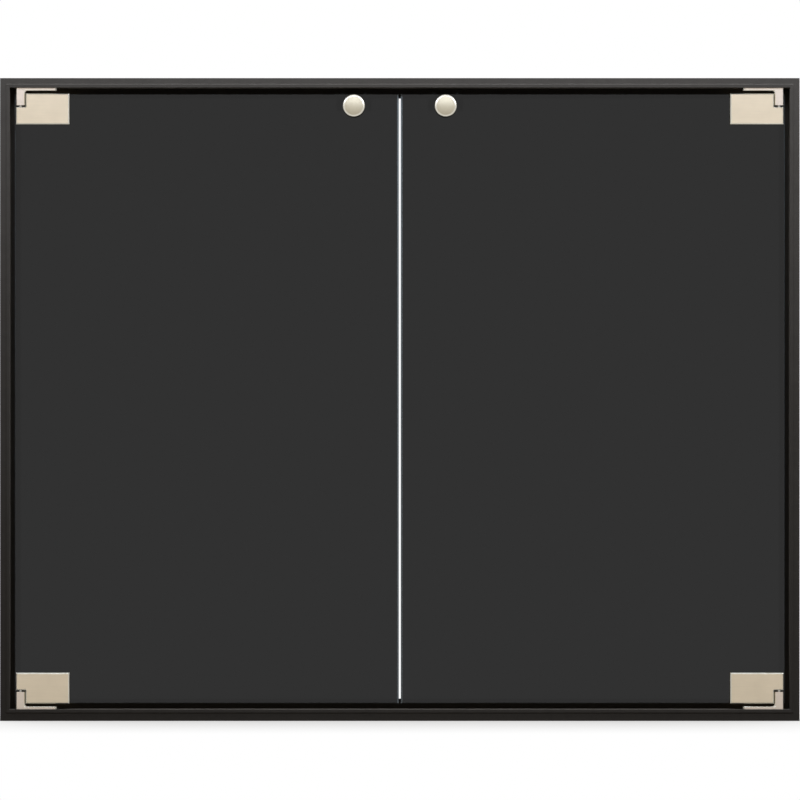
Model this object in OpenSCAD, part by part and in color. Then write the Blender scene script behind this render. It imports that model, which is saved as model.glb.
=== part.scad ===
// Twin fireplace glass doors on corner pivots, in a slim mitred frame that stands inside a masonry opening.
// The origin is the middle of the underside of the strip that the sill stands on. +Z is up and the front
// faces -Y. Millimetres.

/* [Frame] */
// Width across the outside of the frame
frame_w = 908; // [600:1:1300]
// Height across the outside of the frame, with the strip under the sill
frame_h = 730; // [450:1:1000]
// Width of the frame's face, seen from the front
face_w = 11; // [10:0.5:24]
// Wall thickness of the extruded section
wall_t = 2; // [1.5:0.1:2.5]
// How far the stop lip reaches inwards behind the edges of the glass
lip_w = 11; // [8:0.5:14]
// Depth of the fixing web behind the hollow part of the section
web_d = 11.5; // [9:0.5:30]
// Width of the raised border between the flat band and the opening
border_w = 4.4; // [3.5:0.1:6]
// How far the border's crown stands in front of the band
border_h = 0.4; // [0.2:0.1:1]
// Radius of the border's shoulder, next to the band
shoulder_r = 1.2; // [1:0.1:3]
// How far the border has fallen back where its nose begins
border_fall = 0.15; // [0:0.05:1]
// Radius of the border's nose, at the opening
nose_r = 0.7; // [0.4:0.1:1.6]
// Thickness of the strip under the sill
strip_t = 2.2; // [1:0.1:4]

/* [Frame fixing] */
// Diameter of the holes for masonry screws in the jambs' webs
fix_hole_d = 5.2; // [4:0.1:6]
// Height between the two holes of a jamb
fix_pitch = 500; // [100:5:640]
// Distance of the holes from the web's back edge
fix_edge = 6; // [4:0.5:8]

/* [Corner keys] */
// Length of each leg of a corner key
key_l = 28; // [24:1:33]
// Distance of a key screw from the key's outer corner
key_screw_at = 19; // [14:1:23]
// Diameter of the key screws
key_screw_d = 3.5; // [3:0.1:4]
// Head diameter of the key screws
key_head_d = 6; // [5:0.1:6.2]
// Head height of the key screws
key_head_h = 1.8; // [1:0.1:2.5]
// Length of the key screws under the head
key_screw_l = 9; // [6:0.5:16]

/* [Doors] */
// Thickness of the glass
glass_t = 6; // [5:0.5:10]
// Size of the arrised edges of the glass
arris = 0.7; // [0.4:0.1:1.2]
// Gap between a glass's hinge edge and the jamb
side_gap = 5.1; // [4:0.1:8]
// Gap between the two doors where they meet
meeting_gap = 2.3; // [2:0.1:5]
// Width of the ground bevel on the front of the meeting edges
meeting_bevel_w = 1.8; // [1.3:0.1:3]
// How far that bevel falls back at the edge
meeting_bevel_d = 1.4; // [1.3:0.1:2]
// Gap between the back of the clamps and the stop lip
lip_gap = 3.2; // [2:0.1:8]

/* [Hinge brackets] */
// Width of a bracket's leg, seen from the front
leg_w = 10.4; // [9:0.1:12]
// Metal on each side of the pin in the leg
leg_wall = 1.2; // [1:0.1:1.5]
// Bevel on the leg's upright edges
leg_bevel = 1; // [0.6:0.1:1.2]
// Length of the leg down from the rail
leg_l = 19.65; // [18:0.05:22]
// Length of the flange along the rail
flange_l = 46; // [44:0.5:60]
// Depth of the flange, front to back
flange_d = 12.4; // [11:0.1:16]
// Thickness of the flange
flange_t = 3; // [2.8:0.1:4]
// Bevel on the flange's edges
flange_bevel = 0.4; // [0.3:0.1:1]
// Size of the cut corners of the flange, seen from above
flange_nose = 1.4; // [0.5:0.1:2]
// Size of the gusset between the leg and the flange
gusset = 1.9; // [1:0.1:2.5]
// Gap between the flange and the clamp
flange_gap = 3.4; // [2:0.1:5]
// Gap between the end of the leg and the clamp, where the pin shows
leg_end_gap = 2.15; // [1:0.05:4]
// Gap between the leg and the side of the clamp's notch as the door swings
leg_side_gap = 0.35; // [0.3:0.05:1]
// Gap between the leg and the glass as the door swings
swing_gap = 0.65; // [0.4:0.05:2]
// Distance of the first flange screw from the leg's outer side
flange_screw_at = 21; // [20:0.5:21.5]
// Distance between the two flange screws
flange_pitch = 17; // [12:0.5:18]
// Diameter of the flange screws
flange_screw_d = 4; // [3.5:0.1:4.2]
// Head diameter of the flange screws
flange_head_d = 7.4; // [6.5:0.1:7.8]
// Length of the flange screws
flange_screw_l = 10; // [7:0.5:12]

/* [Pivots] */
// Diameter of the hinge pins
pin_d = 4; // [3.5:0.1:5]
// Length of the pin held in the leg
pin_hold = 14; // [10:0.5:15]
// Length of the pin in the bush
pin_reach = 11; // [8:0.5:11]
// Length of the cone on the pin's tip
pin_tip = 0.5; // [0.3:0.1:1]
// Wall thickness of the bush
bush_wall = 0.7; // [0.5:0.1:1]
// Thickness of the bush's closed end
bush_floor = 1.5; // [1:0.1:2]
// Metal between the bush and the front of the clamp
bush_cover = 1.45; // [1:0.05:3]

/* [Clamps] */
// Width of a clamp, seen from the front
clamp_w = 60.6; // [58:0.1:80]
// Height of a clamp
clamp_h = 34.9; // [33:0.1:50]
// Bevel on the front edges of the clamp block
clamp_bevel = 1.1; // [0.5:0.1:1.2]
// Broken edges of the clamp block and the back plate next to the gaskets
broken_edge = 0.3; // [0.1:0.1:0.4]
// Distance of the clamp's front behind the front of the frame
clamp_setback = 1; // [0:0.1:2]
// Distance of the clamp's outer side from the glass edge
clamp_inset = 1.8; // [0:0.1:3]
// Thickness of the gaskets between clamp and glass
gasket_t = 0.8; // [0.5:0.1:1.5]
// Distance of the gaskets from the clamp's edges
gasket_inset = 0.5; // [0.2:0.1:1]
// Thickness of the clamp's back plate
back_plate_t = 3; // [2.8:0.1:5]
// Bevel on the back edges of the back plate
back_bevel = 0.8; // [0.3:0.1:1.5]
// Distance of the first clamp screw from the clamp's outer side
clamp_screw_at = 23; // [20:0.5:25]
// Distance between the two clamp screws
clamp_pitch = 25; // [15:0.5:27]
// Diameter of the clamp screws
clamp_screw_d = 5; // [4:0.1:5]
// Head diameter of the clamp screws
clamp_head_d = 9.2; // [8:0.1:9.6]
// Thread that each clamp screw has in the block
clamp_thread = 5.4; // [4:0.1:6]
// Wall thickness of the sleeves round the clamp screws
sleeve_wall = 1.6; // [1:0.1:2]

/* [Knobs] */
// Diameter of the knobs
knob_d = 25.4; // [20:0.1:30]
// Length of a knob, from its washer to its crown
knob_l = 20; // [20:0.5:35]
// Radius of the knob's rim
rim_r = 2; // [1.5:0.1:3.5]
// Radius of the knob's domed crown
crown_r = 20; // [15:0.1:24]
// Diameter of the knob's neck
neck_d = 9.5; // [8:0.1:12]
// Diameter of the knob's foot on the glass
foot_d = 14; // [13:0.1:18]
// Height of the knob's foot
foot_h = 1.6; // [1:0.1:3]
// Distance of a knob's axis below the top edge of the glass
knob_drop = 14; // [14:0.5:40]
// Distance of a knob's axis from the meeting edge of the glass
knob_in = 51; // [45:0.5:80]
// Diameter of the knob screws
knob_screw_d = 4; // [3:0.1:4.5]
// Head diameter of the knob screws
knob_head_d = 7.6; // [6:0.1:8]
// Thread that each knob screw has in its knob
knob_thread = 8; // [5:0.5:10]
// Thickness of the fibre washers on both sides of the glass
washer_t = 0.8; // [0.5:0.1:1.5]
// Diameter of the strike plates behind the glass
strike_d = 24; // [20:0.5:26]
// Thickness of the strike plates
strike_t = 2.5; // [2:0.1:3]

/* [Catches] */
// Gap between a strike plate and the pole plates when the door is closed
catch_gap = 0.3; // [0.2:0.05:0.6]
// Width of a catch housing
catch_w = 40; // [36:1:60]
// Height of a catch housing below the lip
catch_h = 14; // [13:0.5:20]
// Depth of a catch housing
catch_d = 12; // [11:0.5:20]
// Bevel on the edges of a catch housing
catch_bevel = 0.6; // [0.3:0.1:1]
// Gap between the housing and the edge of the lip above it
catch_drop = 0.4; // [0.2:0.1:1]
// Height of the housing's ear behind the lip
ear_h = 11; // [10.5:0.5:16]
// Distance of the ear's ends from the ends of the housing
ear_inset = 1; // [0.5:0.1:2]
// Thickness of the ear
ear_t = 2; // [1.5:0.1:3]
// Distance between the two screws of a catch
ear_pitch = 26; // [20:1:30]
// Diameter of the catch screws
ear_screw_d = 3.5; // [3:0.1:4]
// Head diameter of the catch screws
ear_head_d = 6.5; // [5.5:0.1:7]
// Head height of the catch screws
ear_head_h = 1.8; // [1:0.1:2.5]
// Length of the catch screws under the head
ear_screw_l = 4.5; // [4.5:0.5:8]
// Width of the magnet
magnet_w = 26; // [20:1:30]
// Height of the magnet
magnet_h = 6; // [4:0.5:7]
// Depth of the magnet
magnet_d = 8; // [6:0.5:9]
// Thickness of a pole plate
pole_t = 1.3; // [1:0.1:1.5]
// How far the pole plates stand out of the housing
pole_out = 1; // [0.5:0.1:2]

/* [Clearances] */
// Radial gap of the hinge pins in their bushes
running_gap = 0.05; // [0.02:0.01:0.08]
// Radial gap drawn at pressed and threaded pieces
seat_gap = 0.02; // [0.01:0.01:0.05]
// Radial gap of a screw in a plain hole
loose_gap = 0.25; // [0.1:0.05:0.5]
// Gap round a piece that slides into another
slide_gap = 0.15; // [0.1:0.05:0.3]
// Gap between the end of a hinge pin and the bottom of its bush
pin_end_gap = 0.3; // [0.1:0.1:1]
// How far a tapped hole runs past the end of its screw
tap_spare = 0.5; // [0.2:0.1:1]

/* [Hidden] */
$fn = 64;

// Sides and levels: a corner piece is drawn at the right top and mirrored to the others.
LEFT = -1;
RIGHT = 1;
TOP = 1;
BOTTOM = -1;
CORNERS = [[LEFT, TOP], [RIGHT, TOP], [LEFT, BOTTOM], [RIGHT, BOTTOM]];

// How far a cutting shape runs past the face that it cuts
past = 1;

// How far a face stays behind the arcs at its ends, so that it crosses them instead of only touching them
hair = 0.004;

// A screw's hexagon socket: its size in screw diameters and its depth in head heights
socket_ratio = 0.68;
socket_depth_ratio = 0.7;

// The hinge, worked out from the pin outwards
pin_r = pin_d / 2;
bush_bore_r = pin_r + running_gap;
bush_r = bush_bore_r + bush_wall;
bush_l = pin_reach + pin_end_gap + bush_floor;
pin_setback = bush_cover + bush_r;
leg_t = pin_d + 2 * leg_wall;
leg_reach = norm([leg_w / 2, leg_t / 2 - leg_bevel]);
end_gap = flange_t + flange_gap;
notch_w = leg_w / 2 + leg_reach + leg_side_gap;
notch_h = leg_l - end_gap + leg_end_gap;
clamp_t = pin_setback + leg_reach + swing_gap - gasket_t;

// Depths behind the front of the frame
glass_v = clamp_setback + clamp_t + gasket_t;
back_plate_v = glass_v + glass_t + gasket_t;
clamp_back_v = back_plate_v + back_plate_t;
strike_v = glass_v + glass_t + washer_t;
pole_v = strike_v + strike_t + catch_gap;
housing_v = pole_v + pole_out;
box_d = clamp_back_v + lip_gap + wall_t;
frame_d = box_d + web_d;
front_y = -frame_d / 2;

// Heights of the mitred frame, which stands on the strip, and of its middle
mitred_h = frame_h - strip_t;
mid_z = strip_t + mitred_h / 2;

// Outlines of the opening and the doors
half_w = frame_w / 2;
open_half_w = half_w - face_w;
open_top = frame_h - face_w;
glass_out = open_half_w - side_gap;
glass_in = meeting_gap / 2;
glass_w = glass_out - glass_in;
door_top = open_top - end_gap;
glass_h = 2 * (door_top - mid_z);
clamp_out = glass_out - clamp_inset;
pivot_x = clamp_out - leg_w / 2;
pivot_y = front_y + clamp_setback + pin_setback;
leg_end_z = open_top - leg_l;
notch_z = door_top - notch_h;
lip_z = open_top - lip_w;

// Radii of the sleeves in the glass
clamp_sleeve_bore_r = clamp_screw_d / 2 + loose_gap;
clamp_sleeve_r = clamp_sleeve_bore_r + sleeve_wall;
knob_sleeve_bore_r = knob_screw_d / 2 + loose_gap;
knob_sleeve_r = knob_sleeve_bore_r + sleeve_wall;

knob_x = glass_in + knob_in;
knob_z = door_top - knob_drop;

bronze = "#3a3733";
nickel = "#cfc4ae";
steel = "#a9a9a6";
zinc_steel = "#8f9194";
tint = [0.19, 0.19, 0.19, 0.75];
black = "#1d1d1d";
bearing_bronze = "#a9793c";
fibre = "#6b6258";
mill_aluminium = "#b8babc";

// Puts a piece drawn at the right top in one of the four corners.
module at_corner(side, level) {
    translate([0, 0, level == TOP ? 0 : 2 * mid_z])
        mirror([0, 0, level == TOP ? 0 : 1])
            mirror([side == RIGHT ? 0 : 1, 0, 0])
                children();
}

// Puts a piece drawn on the right door on either door.
module at_side(side) {
    mirror([side == RIGHT ? 0 : 1, 0, 0])
        children();
}

// Turns a piece drawn along +Z to run along +Y, to the back.
module backwards() {
    rotate([-90, 0, 0])
        children();
}

// Turns a piece drawn along +Z to run along -Y, to the front.
module forwards() {
    rotate([90, 0, 0])
        children();
}

// A round hole from y0 to y1 with its axis along Y.
module bore_y(x, y0, y1, z, r) {
    translate([x, y0, z])
        backwards()
            cylinder(h = y1 - y0, r = r);
}

// A round tube from y0 to y1 with its axis along Y.
module tube_y(x, y0, y1, z, outer_r, inner_r) {
    difference() {
        bore_y(x, y0, y1, z, outer_r);
        bore_y(x, y0 - past, y1 + past, z, inner_r);
    }
}

// Section of a w by t plate whose front and back corners are cut at 45 degrees.
function bevelled_section(w, t, front, back) = [
    [front, 0], [w - front, 0], [w, front], [w, t - back],
    [w - back, t], [back, t], [0, t - back], [0, front],
];

function swapped(points) = [for (p = points) [p[1], p[0]]];

// A plate from the origin, w wide, t deep and h high, with bevelled front and back edges.
module bevelled_plate(w, h, t, front, back) {
    intersection() {
        linear_extrude(h)
            polygon(bevelled_section(w, t, front, back));
        rotate([90, 0, 90])
            linear_extrude(w)
                polygon(swapped(bevelled_section(h, t, front, back)));
    }
}

// Points along an arc, angles in degrees from the first axis.
function arc(centre, r, from, to, steps = 12) = [
    for (i = [0 : steps])
        let (a = from + (to - from) * i / steps)
            centre + r * [cos(a), sin(a)]
];

// A countersunk screw along +Z with the flat of its head at z = 0 and a hexagon socket in it.
module countersunk_screw(d, head_d, length) {
    head_h = (head_d - d) / 2;
    difference() {
        union() {
            cylinder(h = head_h, r1 = head_d / 2, r2 = d / 2);
            cylinder(h = length, r = d / 2);
        }
        translate([0, 0, -past])
            cylinder(h = past + head_h * socket_depth_ratio, d = d * socket_ratio, $fn = 6);
    }
}

// The hole for such a screw, from z = 0 into the piece.
module countersunk_hole(d, head_d, depth, gap) {
    head_h = (head_d - d) / 2;
    translate([0, 0, -past])
        cylinder(h = past + depth, r = d / 2 + gap);
    translate([0, 0, -past])
        cylinder(h = past + seat_gap, r = head_d / 2 + seat_gap);
    translate([0, 0, seat_gap])
        cylinder(h = head_h, r1 = head_d / 2 + seat_gap, r2 = d / 2 + seat_gap);
}

// A pan-head screw along +Z with its head below z = 0 and a hexagon socket in it.
module pan_screw(d, head_d, head_h, length) {
    difference() {
        union() {
            translate([0, 0, -head_h])
                cylinder(h = head_h, d = head_d);
            cylinder(h = length, d = d);
        }
        translate([0, 0, -head_h - past])
            cylinder(h = past + head_h * socket_depth_ratio, d = d * socket_ratio, $fn = 6);
    }
}

// Outline of the extruded section: first axis inwards from the outer side, second axis backwards.
module frame_section() {
    band_w = face_w - border_w;
    shoulder = [band_w + sqrt(border_h * (2 * shoulder_r - border_h)), shoulder_r];
    nose = [face_w - nose_r, border_fall + nose_r];
    // The border's face runs straight between the two arcs.
    run = nose - shoulder;
    slope = atan2(run[1], run[0]) + asin((shoulder_r - nose_r) / norm(run));
    ahead = [sin(slope), -cos(slope)];
    difference() {
        union() {
            polygon([
                [0, border_h], [shoulder[0], border_h], shoulder + (shoulder_r - hair) * ahead,
                nose + (nose_r - hair) * ahead, nose, [face_w, nose[1]],
                [face_w, box_d - wall_t], [face_w + lip_w, box_d - wall_t], [face_w + lip_w, box_d],
                [wall_t, box_d], [wall_t, frame_d], [0, frame_d],
            ]);
            translate(shoulder)
                circle(r = shoulder_r);
            translate(nose)
                circle(r = nose_r);
        }
        translate([wall_t, border_h + wall_t])
            square([face_w - 2 * wall_t, box_d - border_h - 2 * wall_t]);
    }
}

// A length of the section along +Z from the origin, mitred at both ends.
module mitred_length(length) {
    reach = face_w + lip_w + past;
    intersection() {
        linear_extrude(length)
            frame_section();
        translate([0, frame_d + past, 0])
            forwards()
                linear_extrude(frame_d + 2 * past)
                    polygon([[0, 0], [reach, reach], [reach, length - reach], [0, length]]);
    }
}

// The corner key's screw places, as distances from the frame's outer corner along and across a leg.
key_screw_along = wall_t + key_screw_at;
key_screw_across = face_w / 2;

// Screw places of a flange, as distances from the centre line
flange_screw_x = [for (i = [0, 1]) clamp_out - flange_screw_at - i * flange_pitch];
flange_screw_y = pivot_y - leg_t / 2 + flange_d / 2;

// Catch screw places on the right, as distances from the centre line
ear_screw_x = [for (i = [-1, 1]) knob_x + i * ear_pitch / 2];
ear_screw_z = lip_z + lip_w / 2;

module rail_at_top() {
    difference() {
        translate([-half_w, front_y, frame_h])
            rotate([0, 90, 0])
                mitred_length(frame_w);
        for (side = [LEFT, RIGHT]) {
            for (x = flange_screw_x)
                translate([side * x, flange_screw_y, open_top - past])
                    cylinder(h = wall_t + 2 * past, r = flange_screw_d / 2 + seat_gap);
            bore_y(
                side * (half_w - key_screw_along), front_y + box_d - wall_t - past, front_y + box_d + past,
                frame_h - key_screw_across, key_screw_d / 2 + loose_gap
            );
        }
    }
}

module top_rail() {
    color(bronze)
        difference() {
            rail_at_top();
            for (side = [LEFT, RIGHT])
                for (x = ear_screw_x)
                    bore_y(
                        side * x, front_y + box_d - wall_t - past, front_y + box_d + past,
                        ear_screw_z, ear_screw_d / 2 + seat_gap
                    );
        }
}

module bottom_rail() {
    color(bronze)
        at_corner(RIGHT, BOTTOM)
            rail_at_top();
}

module jamb(side) {
    color(bronze)
        difference() {
            at_side(side)
                translate([half_w, front_y, strip_t])
                    mirror([1, 0, 0])
                        mitred_length(mitred_h);
            for (level = [TOP, BOTTOM]) {
                bore_y(
                    side * (half_w - key_screw_across), front_y + box_d - wall_t - past,
                    front_y + box_d + past, mid_z + level * (mitred_h / 2 - key_screw_along),
                    key_screw_d / 2 + loose_gap
                );
                translate([
                    side * (half_w - wall_t / 2), front_y + frame_d - fix_edge,
                    mid_z + level * fix_pitch / 2,
                ])
                    rotate([0, 90, 0])
                        cylinder(h = wall_t + 2 * past, d = fix_hole_d, center = true);
            }
        }
}

module left_jamb() {
    jamb(LEFT);
}

module right_jamb() {
    jamb(RIGHT);
}

// A flat strip under the sill, flush with its face and its back
module sill_strip() {
    color(bronze)
        translate([-half_w, front_y + border_h, 0])
            cube([frame_w, frame_d - border_h, strip_t]);
}

// An L of flat bar that fills the hollow of both rails at a mitre, tapped for its two screws.
module corner_key() {
    key_w = face_w - 2 * wall_t - 2 * slide_gap;
    outer_x = half_w - wall_t - slide_gap;
    outer_z = frame_h - wall_t - slide_gap;
    y0 = front_y + border_h + wall_t + slide_gap;
    y1 = front_y + box_d - wall_t - slide_gap;
    tap_r = key_screw_d / 2 + seat_gap;
    tap_depth = key_screw_l - wall_t - slide_gap + tap_spare;
    color(mill_aluminium)
        difference() {
            translate([0, y1, 0])
                forwards()
                    linear_extrude(y1 - y0)
                        polygon([
                            [outer_x, outer_z], [outer_x, outer_z - key_l],
                            [outer_x - key_w, outer_z - key_l], [outer_x - key_w, outer_z - key_w],
                            [outer_x - key_l, outer_z - key_w], [outer_x - key_l, outer_z],
                        ]);
            bore_y(half_w - key_screw_along, y1 - tap_depth, y1 + past, frame_h - key_screw_across, tap_r);
            bore_y(half_w - key_screw_across, y1 - tap_depth, y1 + past, frame_h - key_screw_along, tap_r);
        }
}

module left_top_corner_key() {
    at_corner(LEFT, TOP)
        corner_key();
}

module right_top_corner_key() {
    at_corner(RIGHT, TOP)
        corner_key();
}

module left_bottom_corner_key() {
    at_corner(LEFT, BOTTOM)
        corner_key();
}

module right_bottom_corner_key() {
    at_corner(RIGHT, BOTTOM)
        corner_key();
}

module corner_key_screws() {
    places = [
        [half_w - key_screw_along, frame_h - key_screw_across],
        [half_w - key_screw_across, frame_h - key_screw_along],
    ];
    color(zinc_steel)
        for (corner = CORNERS)
            at_corner(corner[0], corner[1])
                for (place = places)
                    translate([place[0], front_y + box_d, place[1]])
                        forwards()
                            pan_screw(key_screw_d, key_head_d, key_head_h, key_screw_l);
}

// The cast bracket: a leg round the pin and a flange along the rail, with a gusset between them.
module hinge_bracket() {
    y0 = pivot_y - leg_t / 2;
    y1 = y0 + flange_d;
    flange_z = open_top - flange_t;
    flange_in = clamp_out - flange_l;
    leg_in = pivot_x - leg_w / 2;
    color(nickel)
        difference() {
            union() {
                translate([leg_in, y0, leg_end_z])
                    linear_extrude(leg_l)
                        polygon(bevelled_section(leg_w, leg_t, leg_bevel, leg_bevel));
                intersection() {
                    translate([flange_in, 0, 0])
                        rotate([90, 0, 90])
                            linear_extrude(flange_l)
                                polygon([
                                    [y0, open_top], [y0, flange_z + flange_bevel],
                                    [y0 + flange_bevel, flange_z], [y1, flange_z], [y1, open_top],
                                ]);
                    translate([0, 0, flange_z - past])
                        linear_extrude(flange_t + 2 * past)
                            polygon([
                                [flange_in, y0 + flange_nose], [flange_in + flange_nose, y0],
                                [clamp_out - leg_bevel, y0], [clamp_out, y0 + leg_bevel],
                                [clamp_out, y1 - flange_nose], [clamp_out - flange_nose, y1],
                                [flange_in + flange_nose, y1], [flange_in, y1 - flange_nose],
                            ]);
                }
                translate([0, y0 + leg_t - leg_bevel, 0])
                    forwards()
                        linear_extrude(leg_t - 2 * leg_bevel)
                            polygon([
                                [leg_in + past, flange_z + past], [leg_in - gusset, flange_z + past],
                                [leg_in - gusset, flange_z], [leg_in, flange_z - gusset],
                                [leg_in + past, flange_z - gusset],
                            ]);
            }
            translate([pivot_x, pivot_y, leg_end_z - past])
                cylinder(h = past + pin_hold + seat_gap, r = pin_r + seat_gap);
            for (x = flange_screw_x)
                translate([x, flange_screw_y, flange_z])
                    countersunk_hole(flange_screw_d, flange_head_d, flange_t + past, loose_gap);
        }
}

module left_top_hinge_bracket() {
    at_corner(LEFT, TOP)
        hinge_bracket();
}

module right_top_hinge_bracket() {
    at_corner(RIGHT, TOP)
        hinge_bracket();
}

module left_bottom_hinge_bracket() {
    at_corner(LEFT, BOTTOM)
        hinge_bracket();
}

module right_bottom_hinge_bracket() {
    at_corner(RIGHT, BOTTOM)
        hinge_bracket();
}

module hinge_bracket_screws() {
    color(steel)
        for (corner = CORNERS)
            at_corner(corner[0], corner[1])
                for (x = flange_screw_x)
                    translate([x, flange_screw_y, open_top - flange_t + seat_gap])
                        countersunk_screw(flange_screw_d, flange_head_d, flange_screw_l);
}

// A plain pin with a coned tip, pressed into the bracket's leg.
module hinge_pin() {
    tip_z = notch_z - pin_reach;
    color(steel)
        translate([pivot_x, pivot_y, 0]) {
            translate([0, 0, tip_z])
                cylinder(h = pin_tip, r1 = pin_r - pin_tip, r2 = pin_r);
            translate([0, 0, tip_z + pin_tip])
                cylinder(h = leg_end_z + pin_hold - tip_z - pin_tip, r = pin_r);
        }
}

module left_top_hinge_pin() {
    at_corner(LEFT, TOP)
        hinge_pin();
}

module right_top_hinge_pin() {
    at_corner(RIGHT, TOP)
        hinge_pin();
}

module left_bottom_hinge_pin() {
    at_corner(LEFT, BOTTOM)
        hinge_pin();
}

module right_bottom_hinge_pin() {
    at_corner(RIGHT, BOTTOM)
        hinge_pin();
}

// A bush closed at one end, which the pin turns in and stands on.
module pivot_bush() {
    color(bearing_bronze)
        translate([pivot_x, pivot_y, notch_z - bush_l])
            difference() {
                cylinder(h = bush_l, r = bush_r);
                translate([0, 0, bush_floor])
                    cylinder(h = bush_l, r = bush_bore_r);
            }
}

module left_top_pivot_bush() {
    at_corner(LEFT, TOP)
        pivot_bush();
}

module right_top_pivot_bush() {
    at_corner(RIGHT, TOP)
        pivot_bush();
}

module left_bottom_pivot_bush() {
    at_corner(LEFT, BOTTOM)
        pivot_bush();
}

module right_bottom_pivot_bush() {
    at_corner(RIGHT, BOTTOM)
        pivot_bush();
}

// Screw places of a clamp, as distances from the centre line, on the clamp's middle height
clamp_screw_x = [for (i = [0, 1]) clamp_out - clamp_screw_at - i * clamp_pitch];
clamp_screw_z = door_top - clamp_h / 2;
clamp_screw_l = back_plate_t + gasket_t + glass_t + gasket_t + clamp_thread;

// Space round the bracket's leg, cut out of a clamp piece that spans y0 to y1. grow widens it.
module leg_notch(y0, y1, grow) {
    translate([clamp_out - notch_w - grow, y0 - past, notch_z - grow])
        cube([notch_w + grow + past, y1 - y0 + 2 * past, notch_h + grow + past]);
}

// The front half of a clamp: a notched block with bevelled front edges, bored for the bush.
module clamp_block() {
    y0 = front_y + clamp_setback;
    y1 = y0 + clamp_t;
    wall_x = clamp_out - notch_w;
    color(nickel)
        difference() {
            translate([clamp_out - clamp_w, y0, door_top - clamp_h])
                bevelled_plate(clamp_w, clamp_h, clamp_t, clamp_bevel, broken_edge);
            leg_notch(y0, y1, 0);
            translate([0, 0, notch_z])
                linear_extrude(notch_h + past)
                    polygon([
                        [wall_x - clamp_bevel, y0], [wall_x - clamp_bevel, y0 - past],
                        [wall_x + past, y0 - past], [wall_x + past, y0 + clamp_bevel],
                        [wall_x, y0 + clamp_bevel],
                    ]);
            translate([wall_x, 0, 0])
                rotate([90, 0, 90])
                    linear_extrude(notch_w + past)
                        polygon([
                            [y0, notch_z - clamp_bevel], [y0 - past, notch_z - clamp_bevel],
                            [y0 - past, notch_z + past], [y0 + clamp_bevel, notch_z + past],
                            [y0 + clamp_bevel, notch_z],
                        ]);
            translate([pivot_x, pivot_y, notch_z - bush_l - seat_gap])
                cylinder(h = bush_l + seat_gap + past, r = bush_r + seat_gap);
            for (x = clamp_screw_x)
                bore_y(
                    x, y1 - clamp_thread - tap_spare, y1 + past, clamp_screw_z,
                    clamp_screw_d / 2 + seat_gap
                );
        }
}

module left_top_clamp_block() {
    at_corner(LEFT, TOP)
        clamp_block();
}

module right_top_clamp_block() {
    at_corner(RIGHT, TOP)
        clamp_block();
}

module left_bottom_clamp_block() {
    at_corner(LEFT, BOTTOM)
        clamp_block();
}

module right_bottom_clamp_block() {
    at_corner(RIGHT, BOTTOM)
        clamp_block();
}

module gasket(y0) {
    w = clamp_w - 2 * gasket_inset;
    h = clamp_h - 2 * gasket_inset;
    difference() {
        translate([clamp_out - clamp_w + gasket_inset, y0, door_top - clamp_h + gasket_inset])
            cube([w, gasket_t, h]);
        leg_notch(y0, y0 + gasket_t, gasket_inset);
        for (x = clamp_screw_x)
            bore_y(x, y0 - past, y0 + gasket_t + past, clamp_screw_z, clamp_screw_d / 2 + loose_gap);
    }
}

// One gasket in front of the glass and one behind it
module clamp_gaskets() {
    color(black) {
        gasket(front_y + glass_v - gasket_t);
        gasket(front_y + glass_v + glass_t);
    }
}

module left_top_clamp_gaskets() {
    at_corner(LEFT, TOP)
        clamp_gaskets();
}

module right_top_clamp_gaskets() {
    at_corner(RIGHT, TOP)
        clamp_gaskets();
}

module left_bottom_clamp_gaskets() {
    at_corner(LEFT, BOTTOM)
        clamp_gaskets();
}

module right_bottom_clamp_gaskets() {
    at_corner(RIGHT, BOTTOM)
        clamp_gaskets();
}

// The plate behind the glass, countersunk for the two clamp screws.
module clamp_back_plate() {
    y1 = front_y + clamp_back_v;
    color(nickel)
        difference() {
            translate([clamp_out - clamp_w, front_y + back_plate_v, door_top - clamp_h])
                bevelled_plate(clamp_w, clamp_h, back_plate_t, broken_edge, back_bevel);
            for (x = clamp_screw_x)
                translate([x, y1, clamp_screw_z])
                    forwards()
                        countersunk_hole(clamp_screw_d, clamp_head_d, back_plate_t + past, loose_gap);
        }
}

module left_top_clamp_back_plate() {
    at_corner(LEFT, TOP)
        clamp_back_plate();
}

module right_top_clamp_back_plate() {
    at_corner(RIGHT, TOP)
        clamp_back_plate();
}

module left_bottom_clamp_back_plate() {
    at_corner(LEFT, BOTTOM)
        clamp_back_plate();
}

module right_bottom_clamp_back_plate() {
    at_corner(RIGHT, BOTTOM)
        clamp_back_plate();
}

module clamp_screws(side) {
    color(steel)
        for (level = [TOP, BOTTOM])
            at_corner(side, level)
                for (x = clamp_screw_x)
                    translate([x, front_y + clamp_back_v - seat_gap, clamp_screw_z])
                        forwards()
                            countersunk_screw(clamp_screw_d, clamp_head_d, clamp_screw_l);
}

module left_clamp_screws() {
    clamp_screws(LEFT);
}

module right_clamp_screws() {
    clamp_screws(RIGHT);
}

// Tubes that keep the clamp screws off the glass
module clamp_sleeves(side) {
    y0 = front_y + glass_v;
    color(fibre)
        for (level = [TOP, BOTTOM])
            at_corner(side, level)
                for (x = clamp_screw_x)
                    tube_y(x, y0, y0 + glass_t, clamp_screw_z, clamp_sleeve_r, clamp_sleeve_bore_r);
}

module left_clamp_sleeves() {
    clamp_sleeves(LEFT);
}

module right_clamp_sleeves() {
    clamp_sleeves(RIGHT);
}

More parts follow.
